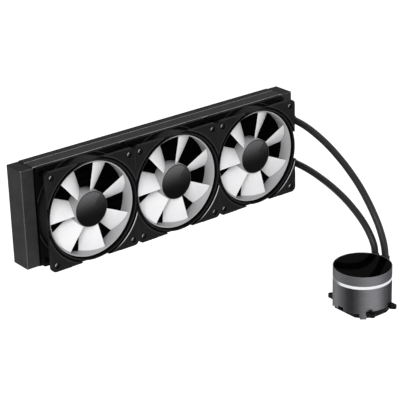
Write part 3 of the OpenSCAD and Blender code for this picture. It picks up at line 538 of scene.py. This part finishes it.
def light_band(name, color, shaded_color, strength, centre, shade_angle):
    """White ring lit from within, which fades out into painted shade round the given angle."""
    fade = (0.74, 0.92)
    s = Surface(name)
    flat = s.add("ShaderNodeVectorMath", operation="MULTIPLY")
    flat.inputs[1].default_value = (1.0, 1.0, 0.0)
    s.link(s.around(centre), flat.inputs[0])
    unit = s.add("ShaderNodeVectorMath", operation="NORMALIZE")
    s.link(flat.outputs[0], unit.inputs[0])
    dot = s.add("ShaderNodeVectorMath", operation="DOT_PRODUCT")
    dot.inputs[1].default_value = (math.cos(shade_angle), math.sin(shade_angle), 0.0)
    s.link(unit.outputs[0], dot.inputs[0])
    # Fading out towards one side, in colour and in glow: painted shade.
    lit = s.math("SUBTRACT", 1.0, s.rise(dot.outputs["Value"], *fade))
    cloud = s.mix(s.spread(s.noise(70), 0.0, 1.0), shade(color, 0.96), color)
    s.link(s.mix(lit, shaded_color, cloud), s.bsdf.inputs["Base Color"])
    s.link(s.spread(s.noise(300), 0.3, 0.4), s.bsdf.inputs["Roughness"])
    socket(s.bsdf, "Emission Color", (*color, 1.0))
    s.link(s.math("MULTIPLY", lit, strength), s.bsdf.inputs["Emission Strength"])
    return s.material


def hub_disc_with_painted_sheen(name, light, dark, rough):
    """Satin black disc with a dark rim, with a painted reflection that makes it lighter towards its top and
    darker in a sector on its right side.
    """
    radius = 0.021
    fade_angle, sector_angle = 92, 50
    rim = (0.0197, 0.0202)
    s = Surface(name)
    x, z = s.from_fan_axis()
    # Lighter towards the top: painted reflection.
    fade = s.math("POWER", s.rise(s.along(x, z, fade_angle), -radius, radius), 3.0)
    base = s.mix(fade, dark, light)
    # Darker sector on the right: painted reflection.
    sector = s.math("MULTIPLY", s.rise(s.along(x, z, sector_angle), 0.0, 0.012),
                    s.rise(s.along(x, z, sector_angle - 90), -0.001, 0.001))
    base = s.mix(s.math("MULTIPLY", sector, 0.45), base, dark)
    base = s.mix(s.math("MULTIPLY", s.rise(s.length(x, z), *rim), 0.7), base, dark)
    grain = s.noise(900, 3.0)
    base = s.mix(s.spread(grain, 0.0, 0.25), base, shade(dark, 0.5))
    rounded = s.round_edges(0.0004)
    # Lighter edges: painted highlight.
    s.link(s.mix(s.edge_mask(rounded), base, shade(light, 0.3)), s.bsdf.inputs["Base Color"])
    s.link(s.spread(grain, rough - 0.05, rough + 0.05), s.bsdf.inputs["Roughness"])
    s.link(s.bump(grain, 0.00001, 0.5, rounded), s.bsdf.inputs["Normal"])
    socket(s.bsdf, "Specular IOR Level", 0.03)
    return s.material


def dress(node, material):
    """Puts a material on a CAD node."""
    piece = nodes[node]
    if not piece.material_slots:
        piece.data.materials.append(material)
    for slot in piece.material_slots:
        slot.link = "OBJECT"
        slot.material = material


# Round parts

def lathe(profile, place, steps=ROUND_STEPS):
    """Points and faces of a profile of (radius, height) turned round place's +Z."""
    points, rows, faces = [], [], []
    for r, z in profile:
        if r == 0:
            rows.append([len(points)] * steps)
            points.append(place @ Vector((0, 0, z)))
            continue
        rows.append(range(len(points), len(points) + steps))
        for k in range(steps):
            turn = math.tau * k / steps
            points.append(place @ Vector((r * math.cos(turn), r * math.sin(turn), z)))
    for low, high in zip(rows, rows[1:]):
        for k in range(steps):
            after = (k + 1) % steps
            faces.append(tuple(dict.fromkeys((low[k], low[after], high[after], high[k]))))
    return points, faces


def rounded_ring(r_out, r_in, z0, z1, soft):
    """Closed profile of a ring with soft corners."""
    profile = []
    corners = ((r_out, z1, 0), (r_in, z1, 90), (r_in, z0, 180), (r_out, z0, 270))
    for r, z, start in corners:
        cr = r - soft if r == r_out else r + soft
        cz = z - soft if z == z1 else z + soft
        for k in range(4):
            turn = math.radians(start + 30 * k)
            profile.append((cr + soft * math.cos(turn), cz + soft * math.sin(turn)))
    return profile + profile[:1]


def joined(*meshes):
    points, faces = [], []
    for more_points, more_faces in meshes:
        start = len(points)
        points += more_points
        faces += [tuple(start + i for i in face) for face in more_faces]
    return points, faces


# Impeller

def blade_grid(root_r, tip_r, front, back, place):
    """One blade: a skin with a front and a back side, thin at its edges."""
    points, faces = [], []
    across = BLADE_STEPS_C + 1
    layer = (BLADE_STEPS_R + 1) * across
    for side in (1, -1):
        for i in range(BLADE_STEPS_R + 1):
            f = i / BLADE_STEPS_R
            r = root_r + (tip_r - root_r) * f
            lead = LEAD_TIP + (LEAD_HUB - LEAD_TIP) * (1 - f) ** 2
            trail = TRAIL_HUB + (TRAIL_TIP - TRAIL_HUB) * f
            for j in range(across):
                c = j / BLADE_STEPS_C
                turn = math.radians(lead + (trail - lead) * c)
                middle = front + (back - front) * c + BLADE_CAMBER * 4 * c * (1 - c)
                half = BLADE_THICKNESS / 2 * (0.25 + 0.75 * math.sin(math.pi * c) ** 0.7)
                points.append(place @ Vector((r * math.cos(turn), r * math.sin(turn), middle + side * half)))
    for i in range(BLADE_STEPS_R):
        for j in range(BLADE_STEPS_C):
            a = i * across + j
            faces.append((a + across, a + across + 1, a + 1, a))
            faces.append((a + layer, a + 1 + layer, a + across + 1 + layer, a + across + layer))
    edge = (list(range(across))
            + [i * across + BLADE_STEPS_C for i in range(1, BLADE_STEPS_R + 1)]
            + [BLADE_STEPS_R * across + j for j in range(BLADE_STEPS_C - 1, -1, -1)]
            + [i * across for i in range(BLADE_STEPS_R - 1, 0, -1)])
    for a, b in zip(edge, edge[1:] + edge[:1]):
        faces.append((a, b, b + layer, a + layer))
    return points, faces


def fan_place(side):
    """A fan's own frame, in millimetres: +Z forwards, with z = 0 at the frame's back face."""
    low, high = (Vector(v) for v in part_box(side + "_fan_frame"))
    centre = (low + high) / 2
    turn = Matrix(((1, 0, 0), (0, 0, -1), (0, 1, 0))).to_4x4()
    return Matrix.Translation((centre.x, high.y, centre.z)) @ turn @ Matrix.Scale(MM, 4)


def impeller_piece(side, material):
    """A fan's white wheel: a ring and a hub with a seat for its cap, joined by the blades."""
    place = fan_place(side)
    low, high = (Vector(v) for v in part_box(side + "_impeller"))
    frame_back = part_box(side + "_fan_frame")[1][1]
    ring_r = (high.x - low.x) / 2 / MM
    front = (frame_back - low.y) / MM
    back = (frame_back - high.y) / MM
    ring = lathe(rounded_ring(ring_r, ring_r - RING_WALL, back, front, RING_SOFT), place)
    hub = lathe([(0, front - HUB_SHELF), (HUB_R - HUB_WALL, front - HUB_SHELF), (HUB_R - HUB_WALL, back),
                 (HUB_R - 0.3, back), (HUB_R, back + 0.4), (HUB_R, front - 0.9), (HUB_R - 0.25, front - 0.25),
                 (HUB_R - 0.6, front), (HUB_R - HUB_LIP, front - CAP_SEAT), (0, front - CAP_SEAT)], place)
    parts = [ring, hub]
    for k in range(BLADES):
        turned = place @ Matrix.Rotation(math.tau * k / BLADES, 4, "Z")
        parts.append(blade_grid(HUB_R - HUB_LIP, ring_r - RING_WALL / 2, front - BLADE_INSET_FRONT,
                                back + BLADE_INSET_BACK, turned))
    piece = mesh_piece(side + "_fan_wheel", *joined(*parts), material, side + "_rotor")
    piece.modifiers.new("edges", "EDGE_SPLIT").split_angle = math.radians(40)
    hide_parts(side + "_impeller")


def cap_piece(side, material):
    """The hub's disc, very slightly domed, with a soft rim."""
    place = fan_place(side)
    low, high = (Vector(v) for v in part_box(side + "_hub_cap"))
    frame_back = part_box(side + "_fan_frame")[1][1]
    r = (high.x - low.x) / 2 / MM
    front = (frame_back - low.y) / MM
    inner = r - CAP_RIM
    profile = [(r, front - CAP_SEAT), (r, front - CAP_RIM), (r - 0.1, front - 0.12), (inner, front)]
    for k in range(1, CAP_STEPS + 1):
        x = inner * (1 - k / CAP_STEPS)
        profile.append((x, front + CAP_DOME * (1 - (x / r) ** 2)))
    piece = mesh_piece(side + "_hub_disc", *lathe(profile, place), material, side + "_rotor")
    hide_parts(side + "_hub_cap")


# Radiator core

def fin_piece(material):
    """The folded strips between and outside the tubes, much finer than the solids."""
    low, high = (Vector(v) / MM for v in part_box("fin_strips"))
    rows = TUBES + 1
    height = (high.z - low.z - TUBES * TUBE_T) / rows
    periods = round((high.x - low.x) / FIN_PERIOD)
    period = (high.x - low.x) / periods
    half = FIN_CREST / 2
    shape = ((0.0, 0.0), (half, 0.0), (0.5 - half, 1.0), (0.5, 1.0), (0.5 + half, 1.0), (1.0 - half, 0.0))
    count = periods * len(shape)
    points, faces = [], []
    for row in range(rows):
        floor = low.z + row * (height + TUBE_T)
        start = len(points)
        for k in range(count + 1):
            share, level = shape[k % len(shape)]
            x = low.x + (k // len(shape) + share) * period
            z = floor + level * (height - FIN_SHEET)
            for y in (low.y, high.y):
                points.append(Vector((x, y, z)) * MM)
                points.append(Vector((x, y, z + FIN_SHEET)) * MM)
        for k in range(count):
            a = start + 4 * k
            b = a + 4
            faces += [(a, b, b + 2, a + 2), (a + 1, a + 3, b + 3, b + 1), (a, a + 1, b + 1, b),
                      (a + 2, b + 2, b + 3, a + 3)]
    piece = mesh_piece("fine_fins", points, faces, material, "cooler", smooth=False)
    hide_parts("fin_strips")


# Light and floor

def background_rays(tree):
    """1 for rays that show the background, also in metal and glass, and 0 for those that light the object."""
    path = tree.nodes.new("ShaderNodeLightPath")
    seen = path.outputs["Is Camera Ray"]
    for ray in ("Is Glossy Ray", "Is Transmission Ray"):
        either = tree.nodes.new("ShaderNodeMath")
        either.operation = "MAXIMUM"
        tree.links.new(seen, either.inputs[0])
        tree.links.new(path.outputs[ray], either.inputs[1])
        seen = either.outputs[0]
    return seen


def plain_floor(height):
    """Pale floor that keeps shadows. It glows only where it is seen, so that it shows white."""
    corners = ((-1, -1), (1, -1), (1, 1), (-1, 1))
    mesh = bpy.data.meshes.new("floor")
    mesh.from_pydata([(x * FLOOR_SIZE, y * FLOOR_SIZE, height) for x, y in corners], [], [(0, 1, 2, 3)])
    floor = bpy.data.objects.new("floor", mesh)
    bpy.context.scene.collection.objects.link(floor)
    s = Surface("floor_white")
    cloud = s.spread(s.noise(2.0), 0.0, 1.0)
    s.link(s.mix(cloud, (0.9, 0.9, 0.9), (0.93, 0.93, 0.93)), s.bsdf.inputs["Base Color"])
    socket(s.bsdf, "Roughness", 0.9)
    socket(s.bsdf, "Specular IOR Level", 0.0)
    white = s.add("ShaderNodeEmission")
    socket(white, "Color", (1, 1, 1, 1))
    s.link(s.math("MULTIPLY", background_rays(s.tree), FLOOR_GLOW), white.inputs["Strength"])
    both = s.add("ShaderNodeAddShader")
    s.link(s.bsdf.outputs[0], both.inputs[0])
    s.link(white.outputs[0], both.inputs[1])
    s.link(both.outputs[0], s.tree.nodes["Material Output"].inputs["Surface"])
    mesh.materials.append(s.material)


def area_light(name, place, aim, size, power):
    """A square lamp that faces the point aim."""
    data = bpy.data.lights.new(name, "AREA")
    data.shape = "SQUARE"
    data.size = size
    data.energy = power
    lamp = bpy.data.objects.new(name, data)
    bpy.context.scene.collection.objects.link(lamp)
    lamp.location = place
    lamp.rotation_euler = (Vector(aim) - Vector(place)).to_track_quat("-Z", "Y").to_euler()


def world_light(level):
    """Plain light on the object from all round, in front of a white background."""
    world = bpy.data.worlds.new("studio")
    bpy.context.scene.world = world
    world.use_nodes = True
    tree = world.node_tree
    soft = tree.nodes["Background"]
    white = tree.nodes.new("ShaderNodeBackground")
    for background, strength in ((soft, level), (white, 1.0)):
        socket(background, "Color", (1, 1, 1, 1))
        socket(background, "Strength", strength)
    blend = tree.nodes.new("ShaderNodeMixShader")
    tree.links.new(background_rays(tree), blend.inputs[0])
    tree.links.new(soft.outputs[0], blend.inputs[1])
    tree.links.new(white.outputs[0], blend.inputs[2])
    tree.links.new(blend.outputs[0], tree.nodes["World Output"].inputs["Surface"])


# The camera and the hoses come first
set_camera()
hose_rubber = finished_material_with_edge_highlight("hose_rubber", (0.016, 0.016, 0.0175), 0.4, grain=(1500, 0.00003), specular=0.2)
for level, route in (("upper", UPPER_ROUTE), ("lower", LOWER_ROUTE)):
    hose, path, length = hose_piece("hose_" + level, route, hose_rubber)
    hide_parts(level + "_hose")
    print(hose.name, "length", round(length, 4))

pump_low, pump_high = (Vector(v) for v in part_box("pump_sleeve"))
pump_centre = tuple((pump_low + pump_high) / 2)

black_moulding = (0.006, 0.006, 0.0065)
# After the frame's own colour come its painted highlight and the near black of its painted shade.
fan_plastic = frame_material("fan_plastic", (0.012, 0.012, 0.0127), (0.045, 0.045, 0.047),
                             (0.0008, 0.0008, 0.0009))
# After the tanks' own colour come the painted shade of their tops and their painted edge highlight.
tank_paint = tank_material("tank_paint", (0.037, 0.037, 0.0385), (0.012, 0.012, 0.0125), (0.5, 0.5, 0.51))
# After the rails' own colour come their painted front shadow, the painted groove highlight and the painted
# bend highlight.
rail_paint = rail_material("rail_paint", (0.031, 0.031, 0.0325), (0.001, 0.001, 0.0011), (0.35, 0.35, 0.36),
                           (0.25, 0.25, 0.26))
core_paint = finished_material_with_edge_highlight("core_paint", (0.003, 0.003, 0.0032), 0.5, specular=0.01)
# After the white come the painted shade of the hub and of the ring.
white_plastic = white_moulding("impeller_white", (0.9, 0.9, 0.91), (0.085, 0.085, 0.09), (0.46, 0.46, 0.47))
# The first colour is the painted reflection, the second the disc's own black.
cap_black = hub_disc_with_painted_sheen("cap_black", (0.15, 0.15, 0.155), (0.003, 0.003, 0.0032), 0.35)
# Both metals carry bands of painted reflection.
gunmetal = brushed_with_painted_bands("gunmetal", SLEEVE_REFLECTION_BANDS, 0.35, pump_centre)
crown_metal = brushed_with_painted_bands("crown_metal", CROWN_REFLECTION_BANDS, 0.35, pump_centre)
# The second colour is the painted shade of the ring's far side.
ring_glow = light_band("ring_glow", (0.55, 0.555, 0.57), (0.1, 0.1, 0.106), 0.5, pump_centre, RING_SHADE_ANGLE)
mirror_black = finished_material_with_edge_highlight("mirror_black", (0.0006, 0.0006, 0.0006), 0.06, vary=0.05, specular=0.004,
                               grain=(400, 0.0000004))
bracket_black = finished_material_with_edge_highlight("bracket_black", black_moulding, 0.4)
dark_plastic = finished_material_with_edge_highlight("dark_plastic", black_moulding, 0.5)
elbow_black = finished_material_with_edge_highlight("elbow_black", (0.012, 0.012, 0.013), 0.3)
ferrule_black = finished_material_with_edge_highlight("ferrule_black", (0.02, 0.02, 0.021), 0.3)
# The second colour is the painted highlight on the screw heads.
screw_black = screw_material("screw_black", (0.003, 0.003, 0.0032), (0.4, 0.4, 0.41))
steel = finished_material_with_edge_highlight("steel", (0.5, 0.5, 0.52), 0.3, metallic=1.0)
magnet = finished_material_with_edge_highlight("magnet", (0.05, 0.05, 0.052), 0.6)
bronze = finished_material_with_edge_highlight("bronze", (0.4, 0.26, 0.12), 0.45, metallic=1.0)
winding = finished_material_with_edge_highlight("winding", (0.55, 0.22, 0.09), 0.35, metallic=0.8, grain=(3000, 0.0001))
board_green = finished_material_with_edge_highlight("board_green", (0.02, 0.11, 0.05), 0.4)
copper = finished_material_with_edge_highlight("copper", (0.75, 0.34, 0.19), 0.28, metallic=1.0)
seal_rubber = finished_material_with_edge_highlight("seal_rubber", (0.01, 0.01, 0.01), 0.6)
rotor_white = finished_material_with_edge_highlight("rotor_white", (0.75, 0.75, 0.76), 0.45)

DRESSING = {
    tank_paint: ("left_tank", "right_tank"),
    rail_paint: ("top_rail", "bottom_rail"),
    core_paint: ("flat_tubes", "left_header", "right_header"),
    steel: ("inlet_barb", "outlet_barb", "pump_shaft", "plate_screws"),
    ferrule_black: ("hose_ferrules",),
    screw_black: ("fan_screws",),
    board_green: ("fan_boards", "pump_board"),
    winding: ("pump_stator",),
    seal_rubber: ("elbow_seals", "plate_gasket"),
    gunmetal: ("pump_sleeve",),
    crown_metal: ("crown_ring",),
    ring_glow: ("light_ring",),
    mirror_black: ("top_disc",),
    dark_plastic: ("pump_body", "base_frame", "chamber_plate", "connector_socket"),
    rotor_white: ("pump_impeller",),
    bracket_black: ("front_bracket", "rear_bracket"),
    elbow_black: ("inlet_elbow", "outlet_elbow"),
    copper: ("cold_plate",),
}
for material, names in DRESSING.items():
    for name in names:
        dress(name, material)
for side in SIDES:
    dress(side + "_fan_frame", fan_plastic)
    dress(side + "_rotor_yoke", steel)
    dress(side + "_fan_shaft", steel)
    dress(side + "_rotor_magnet", magnet)
    dress(side + "_fan_bearing", bronze)
    dress(side + "_fan_stator", winding)
    impeller_piece(side, white_plastic)
    cap_piece(side, cap_black)
fin_piece(core_paint)

plain_floor(FLOOR_HEIGHT)
world_light(WORLD_LEVEL)
area_light("key", (-1.5, -1.7, 1.1), LIGHT_AIM, size=1.2, power=40)
area_light("fill", (1.6, -1.8, 0.5), LIGHT_AIM, size=1.4, power=6)
area_light("back", (0.3, 1.4, 1.2), (0.0, 0.0, 0.0), size=1.2, power=2)
bpy.context.scene.view_settings.view_transform = "Standard"
